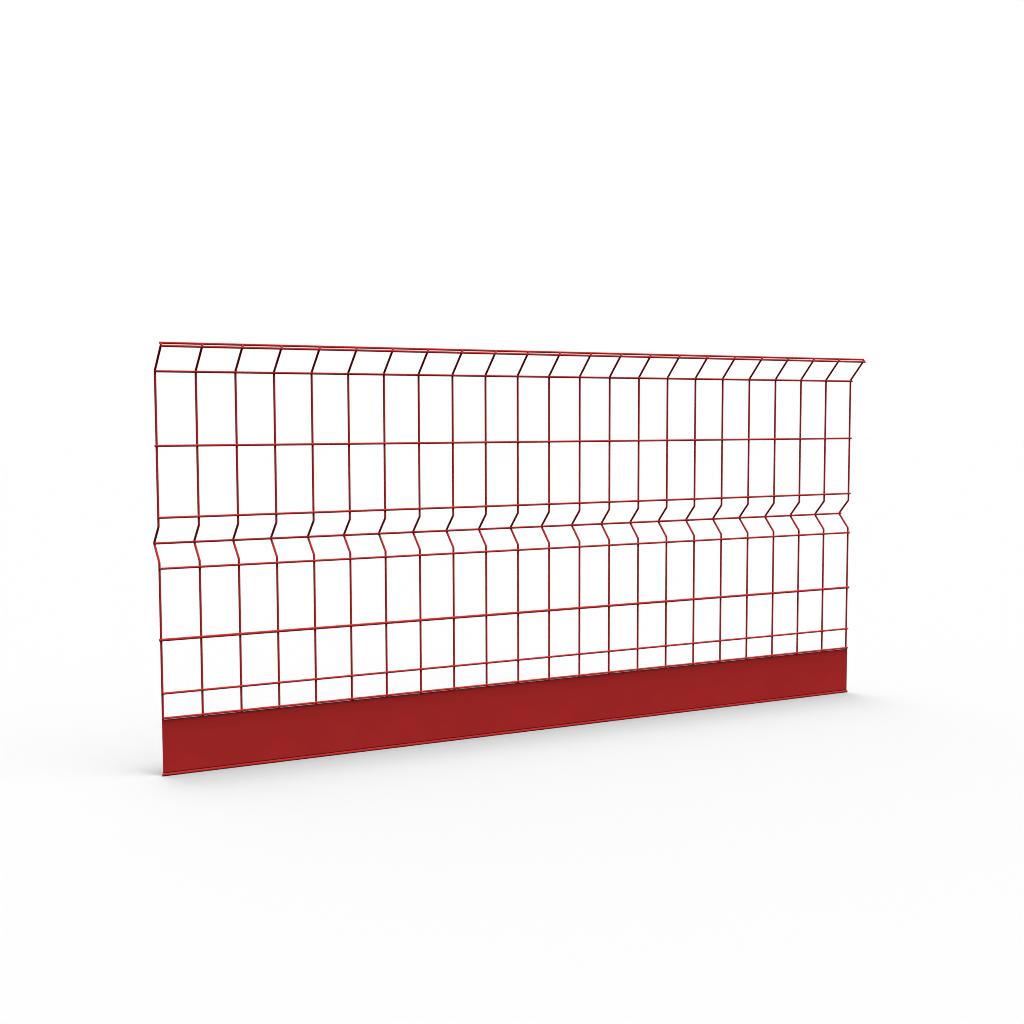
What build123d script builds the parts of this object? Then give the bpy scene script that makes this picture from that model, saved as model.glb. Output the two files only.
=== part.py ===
from build123d import *
import os
from math import cos, radians, sin, sqrt, tan

# Edge protection mesh panel: bent upright wires, straight cross wires welded to them, and a toe board sheet.
# X runs along the panel, -Y is the front, +Z is up. The origin is the middle of the bounding box's underside.

# Main sizes
upright_span = 2492.6     # axis of the first upright to that of the last
upright_height = 1200.75  # floor to the cut ends at the top, at the centre line

# Wires
upright_count = 23
upright_diameter = 6.5
cross_diameter = 6.5
thick_diameter = 8.0      # of the bottom wire and the support wire, which carry the panel
weld_sink = 0.5           # depth to which a weld presses a cross wire into an upright
end_chamfer = 0.4         # broken edge of every cut wire end

# Bends of an upright, at its centre line
bend_radius = 5.0
recess_depth = 50.0       # V recess, pointing to the back
recess_angle = 45.0       # of each leg of the V, from the vertical
lean_angle = 45.0         # of the top, leaning to the front, from the vertical
lean_rise = 70.0          # height of the leaning top, from its bend to its cut end

# Heights up to the upper wire, each from the wire or bend below it
board_zone = 159.95       # bottom wire to board wire
lower_spacing = 70.0      # board wire to lower wire
support_spacing = 151.0   # lower wire to support wire
below_recess_spacing = 199.2
recess_below_gap = 16.8   # wire below the recess to the recess's lower bend
recess_above_gap = 24.6   # the recess's upper bend to the wire above it
upper_spacing = 198.3

# Down from the top
bend_gap = 2.9            # the upright's bend to the bend wire below it
top_inset = 3.2           # cut end of an upright to the top pair, along the lean

# Ends of the cross wires, past the axes of the outer uprights
right_overhang = 3.25
left_overhang = 1.0
left_overhang_long = 7.0  # of the wires that stand out at the left end
left_overhang_rear = 3.25  # of the rear top wire

# Toe board
board_thickness = 1.0
board_sink = 0.2          # depth to which the board is pressed onto each upright
board_top_gap = 1.05      # board wire's underside to the board
board_bottom_clearance = 0.05
board_end_margin = 0.55   # board's end past the outer side of the last upright
board_edge_radius = 0.3

# Sizes that follow
upright_pitch = upright_span / (upright_count - 1)
upright_radius = upright_diameter / 2
cross_radius = cross_diameter / 2
thick_radius = thick_diameter / 2
seat = upright_radius + cross_radius - weld_sink
thick_seat = upright_radius + thick_radius - weld_sink

bottom_height = thick_radius
board_wire_height = bottom_height + board_zone
lower_height = board_wire_height + lower_spacing
support_height = lower_height + support_spacing
below_recess_height = support_height + below_recess_spacing
recess_bottom = below_recess_height + recess_below_gap
recess_middle = recess_bottom + recess_depth / tan(radians(recess_angle))
recess_top = recess_middle + recess_depth / tan(radians(recess_angle))
above_recess_height = recess_top + recess_above_gap
upper_height = above_recess_height + upper_spacing
bend_height = upright_height - lean_rise
bend_wire_height = bend_height - bend_gap
lean_reach = lean_rise * tan(radians(lean_angle))

# The rounded tip of the V lies in front of the corner where its legs would meet.
recess_tip = recess_depth - bend_radius * (1 / sin(radians(recess_angle)) - 1)

# Middle of the top pair on the lean's axis, and the step from there to each wire of the pair
pair_y = -lean_reach + top_inset * sin(radians(lean_angle))
pair_z = upright_height - top_inset * cos(radians(lean_angle))
pair_step_y = seat * cos(radians(lean_angle))
pair_step_z = seat * sin(radians(lean_angle))

# Each cross wire: its place across the panel and its height, its radius, and its overhang at the left end
cross_wires = {
    "bottom_wire": (-thick_seat, bottom_height, thick_radius, left_overhang_long),
    "board_wire": (-seat, board_wire_height, cross_radius, left_overhang),
    "lower_wire": (-seat, lower_height, cross_radius, left_overhang),
    "support_wire": (-thick_seat, support_height, thick_radius, left_overhang_long),
    "below_recess_wire": (-seat, below_recess_height, cross_radius, left_overhang),
    "recess_wire": (recess_tip - seat, recess_middle, cross_radius, left_overhang),
    "above_recess_wire": (-seat, above_recess_height, cross_radius, left_overhang),
    "upper_wire": (-seat, upper_height, cross_radius, left_overhang_long),
    "bend_wire": (-seat, bend_wire_height, cross_radius, left_overhang),
    "top_front_wire": (pair_y - pair_step_y, pair_z - pair_step_z, cross_radius, left_overhang),
    "top_rear_wire": (pair_y + pair_step_y, pair_z + pair_step_z, cross_radius, left_overhang_rear),
}

board_back = -upright_radius + board_sink
board_front = board_back - board_thickness
board_top = board_wire_height - cross_radius - board_top_gap
# The board's rounded lower edge stands on the back of the bottom wire.
edge_reach = thick_radius + board_bottom_clearance + board_edge_radius
edge_back = thick_seat + board_front + board_edge_radius
board_bottom = bottom_height + sqrt(edge_reach**2 - edge_back**2) - board_edge_radius
board_left = -upright_radius - board_end_margin
board_right = upright_span + upright_radius + board_end_margin

# The panel's extents and the origin between them, measured from the first upright's axis at the floor
left_x = min(board_left, -left_overhang, -left_overhang_long, -left_overhang_rear)
right_x = max(board_right, upright_span + right_overhang)
front_y = pair_y - pair_step_y - cross_radius
rear_y = recess_tip + upright_radius
to_frame = Location((-(left_x + right_x) / 2, -(front_y + rear_y) / 2, 0))


def rod(y, z, radius, start, end):
    plane = Plane(origin=(start, y, z), x_dir=(0, 1, 0), z_dir=(1, 0, 0))
    body = extrude(plane * Circle(radius), end - start)
    ends = body.edges().filter_by(GeomType.CIRCLE)
    return chamfer(ends, end_chamfer)


def cross_wire(name):
    y, z, radius, overhang = cross_wires[name]
    return rod(y, z, radius, -overhang, upright_span + right_overhang)


def board():
    width = board_right - board_left
    height = board_top - board_bottom
    middle = ((board_left + board_right) / 2, (board_front + board_back) / 2, (board_top + board_bottom) / 2)
    sheet = Pos(*middle) * Box(width, board_thickness, height)
    return fillet(sheet.edges(), board_edge_radius)


def upright():
    line = FilletPolyline(
        (0, 0, 0),
        (0, 0, recess_bottom),
        (0, recess_depth, recess_middle),
        (0, 0, recess_top),
        (0, 0, bend_height),
        (0, -lean_reach, upright_height),
        radius=bend_radius,
    )
    wire = sweep(Plane.XY * Circle(upright_radius), path=line)
    cut_ends = wire.edges().filter_by(GeomType.CIRCLE).sort_by(Axis.Z)
    wire = chamfer([cut_ends[0], cut_ends[-1]], end_chamfer)
    # Each cross wire is pressed a little into the upright, which leaves a saddle there.
    reach = 2 * upright_diameter
    for y, z, radius, _ in cross_wires.values():
        plane = Plane(origin=(-reach, y, z), x_dir=(0, 1, 0), z_dir=(1, 0, 0))
        wire -= extrude(plane * Circle(radius), 2 * reach)
    # The board lies on a narrow flat.
    press = Pos(0, board_back - board_thickness / 2, (board_top + board_bottom) / 2)
    wire -= press * Box(2 * reach, board_thickness, board_top - board_bottom)
    return wire


os.makedirs("parts", exist_ok=True)
one_upright = upright()
for i in range(upright_count):
    export_step(to_frame * Pos(i * upright_pitch, 0, 0) * one_upright, f"parts/upright_{i + 1:02d}.step")
for name in cross_wires:
    export_step(to_frame * cross_wire(name), f"parts/{name}.step")
export_step(to_frame * board(), "parts/toe_board.step")
print("panel", round(right_x - left_x, 1), "by", round(rear_y - front_y, 1), "mm")
print("first upright at", to_frame.position)
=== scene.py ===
import math

import bpy
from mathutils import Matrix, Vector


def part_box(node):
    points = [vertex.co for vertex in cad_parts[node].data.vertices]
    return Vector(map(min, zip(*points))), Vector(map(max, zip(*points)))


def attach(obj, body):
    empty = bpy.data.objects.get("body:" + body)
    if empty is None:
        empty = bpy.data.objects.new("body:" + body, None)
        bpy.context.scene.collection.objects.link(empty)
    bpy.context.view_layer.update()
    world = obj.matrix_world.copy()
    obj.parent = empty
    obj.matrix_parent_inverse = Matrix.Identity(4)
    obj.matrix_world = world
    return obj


# Edge protection mesh panel: the CAD wires and toe board keep their shapes and get their powder coat here.
# Added to them: the weld collars at the crossings and the tack welds behind the toe board.
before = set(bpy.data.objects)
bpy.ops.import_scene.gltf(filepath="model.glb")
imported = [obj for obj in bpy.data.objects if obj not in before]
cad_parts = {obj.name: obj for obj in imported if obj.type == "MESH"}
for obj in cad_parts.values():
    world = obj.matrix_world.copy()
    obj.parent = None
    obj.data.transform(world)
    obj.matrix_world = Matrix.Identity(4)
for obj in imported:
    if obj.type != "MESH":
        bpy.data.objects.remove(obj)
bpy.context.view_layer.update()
scene = bpy.context.scene
print("frame loaded,", len(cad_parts), "nodes")


class Shade:
    # one socket of a shader tree; sums on it add Math nodes
    def __init__(self, tree, socket):
        self.tree = tree
        self.socket = socket

    @classmethod
    def node(cls, tree, kind, settings=None, sockets=None, out=0):
        made = tree.nodes.new(kind)
        for name, setting in (settings or {}).items():
            setattr(made, name, setting)
        for name, value in (sockets or {}).items():
            if isinstance(value, Shade):
                tree.links.new(value.socket, made.inputs[name])
            else:
                made.inputs[name].default_value = value
        return cls(tree, made.outputs[out]) if made.outputs else None

    def sums(self, operation, first, second):
        return Shade.node(self.tree, "ShaderNodeMath", {"operation": operation}, {0: first, 1: second})

    def __add__(self, other):
        return self.sums("ADD", self, other)

    def __radd__(self, other):
        return self.sums("ADD", other, self)

    def __sub__(self, other):
        return self.sums("SUBTRACT", self, other)

    def __rsub__(self, other):
        return self.sums("SUBTRACT", other, self)

    def __mul__(self, other):
        return self.sums("MULTIPLY", self, other)

    def __rmul__(self, other):
        return self.sums("MULTIPLY", other, self)

    def __pow__(self, other):
        return self.sums("POWER", self, other)

    def atLeast(self, other):
        return self.sums("MAXIMUM", self, other)

    def fade(self, start, end):
        # 0 before start and 1 after end, with a soft step between them
        return Shade.node(
            self.tree,
            "ShaderNodeMapRange",
            {"interpolation_type": "SMOOTHSTEP"},
            {"Value": self, "From Min": start, "From Max": end, "To Min": 0.0, "To Max": 1.0},
        )


def blank(owner):
    owner.use_nodes = True
    owner.node_tree.nodes.clear()
    return owner.node_tree


def mixColours(tree, factor, first, second):
    # colour mix; sockets 6 and 7 of the Mix node are its colours, and output 2 is the mixed one
    return Shade.node(tree, "ShaderNodeMix", {"data_type": "RGBA"}, {0: factor, 6: first, 7: second}, out=2)


def objectPlace(tree):
    return Shade.node(tree, "ShaderNodeTexCoord", out="Object")


def along(tree, place, axis):
    return Shade.node(tree, "ShaderNodeSeparateXYZ", {}, {"Vector": place}, out=axis)


def grain(tree, place, size, detail, roughness):
    # noise with spots of about this size, in metres
    return Shade.node(
        tree,
        "ShaderNodeTexNoise",
        {"noise_dimensions": "3D"},
        {"Vector": place, "Scale": 1.0 / size, "Detail": detail, "Roughness": roughness},
        out="Fac",
    )


# Powder coat, on every wire and on the board; a noise is given by its size, detail and roughness
coatLook = {
    "red": (0.792, 0.0452, 0.0442, 1.0),
    "deepRed": (0.688, 0.0383, 0.0373, 1.0),  # where the coat is thicker
    "cloud": (0.11, 3.0, 0.5),     # slow change of the coat along the panel
    "fleck": (0.0010, 2.0, 0.5),   # fine flow of the baked powder
    "peel": (0.0013, 2.0, 0.6),    # orange peel
    "cloudShare": 0.3,
    "fleckShare": 0.7,
    "thickRange": (0.36, 0.64),    # of the mixed noise, from a thin coat to a thick one
    "peelDepth": 0.00014,
    "peelStrength": 1.0,
    "roughness": 0.52,
    "roughnessSpread": 0.16,
    "specular": 0.03,
}
noiseMiddle = 0.5

# The uprights are a little brighter than the sheet and the bottom wire, the other cross wires more so:
# painted light, a brighter red standing in for the stronger light on the wires' lit upper faces
uprightLook = {**coatLook, "red": (0.827, 0.0469, 0.0459, 1.0), "deepRed": (0.718, 0.0398, 0.0388, 1.0)}
crossLook = {**coatLook, "red": (0.905, 0.0509, 0.0499, 1.0), "deepRed": (0.785, 0.0433, 0.0423, 1.0)}


def powderCoat(name, look, shadeOf=None):
    coat = bpy.data.materials.new(name)
    tree = blank(coat)
    place = objectPlace(tree)
    cloud = grain(tree, place, *look["cloud"])
    fleck = grain(tree, place, *look["fleck"])
    peel = grain(tree, place, *look["peel"])
    thick = (look["cloudShare"] * cloud + look["fleckShare"] * fleck).fade(*look["thickRange"])
    colour = mixColours(tree, thick, look["red"], look["deepRed"])
    if shadeOf is not None:
        colour = shadeOf(tree, place, colour)
    rough = look["roughness"] + (fleck - noiseMiddle) * look["roughnessSpread"]
    bump = Shade.node(
        tree,
        "ShaderNodeBump",
        {},
        {"Strength": look["peelStrength"], "Distance": look["peelDepth"], "Height": peel},
    )
    paint = Shade.node(
        tree,
        "ShaderNodeBsdfPrincipled",
        {},
        {
            "Base Color": colour,
            "Roughness": rough,
            "Specular IOR Level": look["specular"],
            "Normal": bump,
        },
    )
    Shade.node(tree, "ShaderNodeOutputMaterial", {}, {"Surface": paint})
    return coat


# Toe board: painted shade, darker towards its top under the board wire; painted crevice shade, a dark band
# along its foot above the bottom wire; and a painted highlight, a little paler, on its two end edges
boardLook = {
    "shadedTopRed": (0.672, 0.0383, 0.0374, 1.0),
    "slowFade": (0.020, 0.138),   # heights over the board's foot between which the painted shade darkens it slowly
    "quickFade": (0.102, 0.135),  # and quickly, below the board wire
    "slowShare": 0.57,
    # painted crevice shade: a dark band on the front face where the sheet meets the bottom wire
    "creviceShadeRed": (0.16, 0.0090, 0.0088, 1.0),
    "creviceShadeHeight": 0.0048,
    "creviceShadeSoft": 0.0032,
    # painted highlight: the sheet's end edges a little paler, where they catch the light
    "endHighlightRed": (0.83, 0.049, 0.048, 1.0),
    "endHighlightWidth": 0.003,
}


def boardShade(tree, place, colour):
    low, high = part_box("toe_board")
    length = along(tree, place, "X")
    depth = along(tree, place, "Y")
    height = along(tree, place, "Z")
    # painted shade: the board darkens towards its top, under the board wire and the mesh above it
    slow = height.fade(*(low.z + rise for rise in boardLook["slowFade"]))
    quick = height.fade(*(low.z + rise for rise in boardLook["quickFade"]))
    topShade = slow * boardLook["slowShare"] + quick * (1.0 - boardLook["slowShare"])
    colour = mixColours(tree, topShade, colour, boardLook["shadedTopRed"])
    # painted highlight on the sheet's two end edges
    leftEndHighlight = 1.0 - length.fade(low.x, low.x + boardLook["endHighlightWidth"])
    rightEndHighlight = length.fade(high.x - boardLook["endHighlightWidth"], high.x)
    colour = mixColours(tree, leftEndHighlight.atLeast(rightEndHighlight), colour, boardLook["endHighlightRed"])
    # painted crevice shade along the front of the foot, where shade falls between the sheet and the bottom
    # wire
    creviceShadeTop = low.z + boardLook["creviceShadeHeight"]
    creviceShade = 1.0 - height.fade(creviceShadeTop - boardLook["creviceShadeSoft"], creviceShadeTop)
    front = 1.0 - depth.fade(low.y, (low.y + high.y) / 2)
    return mixColours(tree, creviceShade * front, colour, boardLook["creviceShadeRed"])


uprightCoat = powderCoat("uprightPowderCoat", uprightLook)
crossCoat = powderCoat("crossWirePowderCoat", crossLook)
bottomCoat = powderCoat("bottomWirePowderCoat", coatLook)
boardCoat = powderCoat("toeBoardPowderCoat", coatLook, boardShade)
weldCoat = powderCoat("weldPowderCoat", uprightLook)
for name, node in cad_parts.items():
    if name == "toe_board":
        coat = boardCoat
    elif name == "bottom_wire":
        coat = bottomCoat
    else:
        coat = uprightCoat if name.startswith("upright") else crossCoat
    for materialSlot in node.material_slots:
        materialSlot.material = coat
print("powder coat on", len(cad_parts), "nodes")


def addNode(tree, kind, settings=None, sockets=None):
    # one Geometry Nodes node: settings first, then the values or links of its sockets
    made = tree.nodes.new(kind)
    for name, setting in (settings or {}).items():
        setattr(made, name, setting)
    for name, value in (sockets or {}).items():
        if isinstance(value, bpy.types.NodeSocket):
            tree.links.new(value, made.inputs[name])
        else:
            made.inputs[name].default_value = value
    return made


# Inputs of the weld tree, and the ball that each bead is a stretched copy of
weldInputs = {
    "Rows": "NodeSocketGeometry",
    "Uprights": "NodeSocketInt",
    "Pitch": "NodeSocketFloat",
    "Bead Size": "NodeSocketVector",
    "Smallest": "NodeSocketFloat",
    "Largest": "NodeSocketFloat",
    "Turn": "NodeSocketFloat",
    "Seed": "NodeSocketInt",
    "Coat": "NodeSocketMaterial",
}
ball = {"Segments": 12, "Rings": 6, "Radius": 1.0}


def weldTree():
    # takes one point for each row of welds, at its left end, and sets small beads along the panel from there
    tree = bpy.data.node_groups.new("weldsAlongThePanel", "GeometryNodeTree")
    for name, kind in weldInputs.items():
        tree.interface.new_socket(name, in_out="INPUT", socket_type=kind)
    tree.interface.new_socket("Welds", in_out="OUTPUT", socket_type="NodeSocketGeometry")
    given = addNode(tree, "NodeGroupInput").outputs
    step = addNode(tree, "ShaderNodeCombineXYZ", {}, {"X": given["Pitch"]})
    line = addNode(tree, "GeometryNodeMeshLine", {"mode": "OFFSET"},
                   {"Count": given["Uprights"], "Offset": step.outputs[0]})
    spread = addNode(tree, "GeometryNodeInstanceOnPoints", {},
                     {"Points": given["Rows"], "Instance": line.outputs[0]})
    spots = addNode(tree, "GeometryNodeRealizeInstances", {}, {0: spread.outputs[0]})
    bead = addNode(tree, "GeometryNodeMeshUVSphere", {}, ball)
    tilt = addNode(tree, "GeometryNodeInputNamedAttribute", {"data_type": "FLOAT"}, {"Name": "tilt"})
    girth = addNode(tree, "GeometryNodeInputNamedAttribute", {"data_type": "FLOAT"}, {"Name": "girth"})
    # sockets 2 and 3 of a Random Value node are its bounds as plain numbers, and output 1 is its value
    chance = addNode(tree, "FunctionNodeRandomValue", {"data_type": "FLOAT"},
                     {2: given["Smallest"], 3: given["Largest"], "Seed": given["Seed"]})
    spin = addNode(tree, "FunctionNodeRandomValue", {"data_type": "FLOAT"},
                   {2: 0.0, 3: given["Turn"], "Seed": given["Seed"]})
    turn = addNode(tree, "ShaderNodeCombineXYZ", {}, {"X": tilt.outputs[0], "Y": spin.outputs[1]})
    share = addNode(tree, "ShaderNodeMath", {"operation": "MULTIPLY"},
                    {0: chance.outputs[1], 1: girth.outputs[0]})
    size = addNode(tree, "ShaderNodeVectorMath", {"operation": "SCALE"},
                   {0: given["Bead Size"], "Scale": share.outputs[0]})
    beads = addNode(tree, "GeometryNodeInstanceOnPoints", {}, {
        "Points": spots.outputs[0],
        "Instance": bead.outputs[0],
        "Rotation": turn.outputs[0],
        "Scale": size.outputs[0],
    })
    plain = addNode(tree, "GeometryNodeRealizeInstances", {}, {0: beads.outputs[0]})
    smooth = addNode(tree, "GeometryNodeSetShadeSmooth", {}, {0: plain.outputs[0]})
    coated = addNode(tree, "GeometryNodeSetMaterial", {}, {0: smooth.outputs[0], "Material": given["Coat"]})
    addNode(tree, "NodeGroupOutput", {}, {"Welds": coated.outputs[0]})
    return tree


def makeWelds(name, tree, rows, values):
    # rows: place of the row's first weld, how far its beads lean about the panel's length, and their girth
    mesh = bpy.data.meshes.new(name)
    mesh.from_pydata([place for place, _, _ in rows], [], [])
    tilts = mesh.attributes.new("tilt", "FLOAT", "POINT")
    tilts.data.foreach_set("value", [math.radians(lean) for _, lean, _ in rows])
    girths = mesh.attributes.new("girth", "FLOAT", "POINT")
    girths.data.foreach_set("value", [girth for _, _, girth in rows])
    piece = bpy.data.objects.new(name, mesh)
    scene.collection.objects.link(piece)
    modifier = piece.modifiers.new("welds", "NODES")
    modifier.node_group = tree
    for socket in tree.interface.items_tree:
        if socket.in_out == "INPUT" and socket.name in values:
            modifier[socket.identifier] = values[socket.name]
    evaluated = piece.evaluated_get(bpy.context.evaluated_depsgraph_get())
    plainMesh = bpy.data.meshes.new_from_object(evaluated)
    piece.modifiers.remove(modifier)
    piece.data = plainMesh
    plainMesh.name = name
    for spare in ("tilt", "girth"):
        if spare in plainMesh.attributes:
            plainMesh.attributes.remove(plainMesh.attributes[spare])
    print(name, len(plainMesh.polygons), "faces")
    return piece


# Places of the wires, from the frame
uprightNames = sorted(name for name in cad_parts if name.startswith("upright"))
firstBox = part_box(uprightNames[0])
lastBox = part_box(uprightNames[-1])
uprightRadius = (firstBox[1].x - firstBox[0].x) / 2
firstX = (firstBox[0].x + firstBox[1].x) / 2
lastX = (lastBox[0].x + lastBox[1].x) / 2
pitch = (lastX - firstX) / (len(uprightNames) - 1)

# Weld collars: metal pressed out between the two wires of a crossing
collar = {
    "Uprights": len(uprightNames),
    "Pitch": pitch,
    "Bead Size": (0.0034, 0.0011, 0.0034),
    "Smallest": 0.90,
    "Largest": 1.05,
    "Turn": 1.5,
    "Seed": 4,
    "Coat": weldCoat,
}
weldSink = 0.0005   # depth to which a cross wire is pressed into an upright
topLean = 45
crossings = {  # cross wire and the way from it to the upright, in degrees above the straight way back
    "bottom_wire": 0, "board_wire": 0, "lower_wire": 0, "support_wire": 0, "below_recess_wire": 0,
    "recess_wire": 0, "above_recess_wire": 0, "upper_wire": 0, "bend_wire": 0,
    "top_front_wire": topLean, "top_rear_wire": topLean + 180,
}
collarRows = []
for name, lean in crossings.items():
    low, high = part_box(name)
    wireRadius = (high.z - low.z) / 2
    reach = wireRadius - weldSink / 2
    way = math.radians(lean)
    y = (low.y + high.y) / 2 + reach * math.cos(way)
    z = (low.z + high.z) / 2 + reach * math.sin(way)
    collarRows.append(((firstX, y, z), lean, (wireRadius + uprightRadius) / (2 * uprightRadius)))
tree = weldTree()
weldCollars = makeWelds("weld_collars", tree, collarRows, collar)

# Tack welds: short beads behind the toe board, in each bay, in the corners between the sheet and the uprights
tack = {
    "Uprights": len(uprightNames) - 1,  # one for each bay
    "Pitch": pitch,
    "Bead Size": (0.0018, 0.0015, 0.0075),
    "Smallest": 0.85,
    "Largest": 1.15,
    "Turn": 0.05,
    "Seed": 9,
    "Coat": weldCoat,
}
tackHeights = (0.22, 0.78)   # shares of the board's height
tackSide = 0.0031            # from the upright's axis
tackDepth = 0.0004           # from the board's back
boardLow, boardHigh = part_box("toe_board")
tackRows = []
for share in tackHeights:
    z = boardLow.z + share * (boardHigh.z - boardLow.z)
    for x in (firstX + tackSide, firstX + pitch - tackSide):
        tackRows.append(((x, boardHigh.y + tackDepth, z), 0, 1.0))
tackWelds = makeWelds("tack_welds", tree, tackRows, tack)

for piece in (weldCollars, tackWelds):
    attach(piece, "root")
print("welds ride on the panel")


# Floor: plain and pale, wide enough to pass out of view
floorLook = {"colour": (0.78, 0.78, 0.78, 1.0), "half": 40.0}


def makeFloor():
    half = floorLook["half"]
    mesh = bpy.data.meshes.new("studio_floor")
    corners = [(-half, -half, 0), (half, -half, 0), (half, half, 0), (-half, half, 0)]
    mesh.from_pydata(corners, [], [(0, 1, 2, 3)])
    paper = bpy.data.materials.new("studioPaper")
    tree = blank(paper)
    matt = Shade.node(tree, "ShaderNodeBsdfDiffuse", {}, {"Color": floorLook["colour"]})
    Shade.node(tree, "ShaderNodeOutputMaterial", {}, {"Surface": matt})
    mesh.materials.append(paper)
    floor = bpy.data.objects.new("studio_floor", mesh)
    scene.collection.objects.link(floor)


makeFloor()

# Studio light: soft boxes in a white surround, each with its height and its way round from +X, in degrees,
# and its strength
softBoxes = {
    "frontKey": (60, 300, 4.62),
    "frontRight": (36, 315, 1.80),
    "overhead": (88, 0, 2.13),
    "backRight": (36, 45, 0.80),
    "back": (36, 90, 3.24),
    "lowBack": (12, 90, 0.90),
    "lowLeftBack": (12, 135, 0.49),
    "lowLeft": (12, 180, 1.39),
}
softness = 14.0   # the higher, the smaller each box
whiteRays = ("Is Camera Ray", "Is Glossy Ray", "Is Transmission Ray")  # these see a plain white surround


def makeLight():
    surround = bpy.data.worlds.new("studioSurround")
    scene.world = surround
    tree = blank(surround)
    way = Shade.node(tree, "ShaderNodeTexCoord", out="Generated")
    light = None
    for height, turn, strength in softBoxes.values():
        up, around = math.radians(height), math.radians(turn)
        aim = (math.cos(up) * math.cos(around), math.cos(up) * math.sin(around), math.sin(up))
        facing = Shade.node(
            tree,
            "ShaderNodeVectorMath",
            {"operation": "DOT_PRODUCT"},
            {0: way, 1: aim},
            out="Value",
        )
        glow = facing.atLeast(0.0) ** softness * strength
        light = glow if light is None else light + glow
    path = tree.nodes.new("ShaderNodeLightPath")
    seen = Shade(tree, path.outputs[whiteRays[0]])
    for ray in whiteRays[1:]:
        seen = seen.atLeast(Shade(tree, path.outputs[ray]))
    strength = light + seen * (1.0 - light)
    white = Shade.node(tree, "ShaderNodeBackground", {}, {"Color": (1, 1, 1, 1), "Strength": strength})
    Shade.node(tree, "ShaderNodeOutputWorld", {}, {"Surface": white})


makeLight()
print("studio ready")

# Camera: stands to the left in front of the panel, a little below its top
view = {
    "place": (-2.33184, -4.04433, 1.01224),
    "down": 5.0,    # degrees below level
    "turn": -30.0,  # degrees from the straight way back
    "sensor": 36.0,
    "lens": 51.709,
    "shift": (-0.0385, 0.0296),
    "farthest": 100.0,
}
level = 90.0   # degrees; a camera that isn't turned looks straight down
cameraData = bpy.data.cameras.new("photoCamera")
cameraData.sensor_width = view["sensor"]
cameraData.lens = view["lens"]
cameraData.shift_x, cameraData.shift_y = view["shift"]
cameraData.clip_end = view["farthest"]
camera = bpy.data.objects.new("photoCamera", cameraData)
camera.location = view["place"]
camera.rotation_euler = (math.radians(level - view["down"]), 0.0, math.radians(view["turn"]))
scene.collection.objects.link(camera)
scene.camera = camera

scene.view_settings.view_transform = "Standard"
scene.cycles.filter_width = 0.88           # keeps the thin wires crisp
scene.cycles.diffuse_bounces = 0           # the white floor takes no red from the board
scene.cycles.denoising_prefilter = "FAST"  # leaves no tinted rim beside the wires
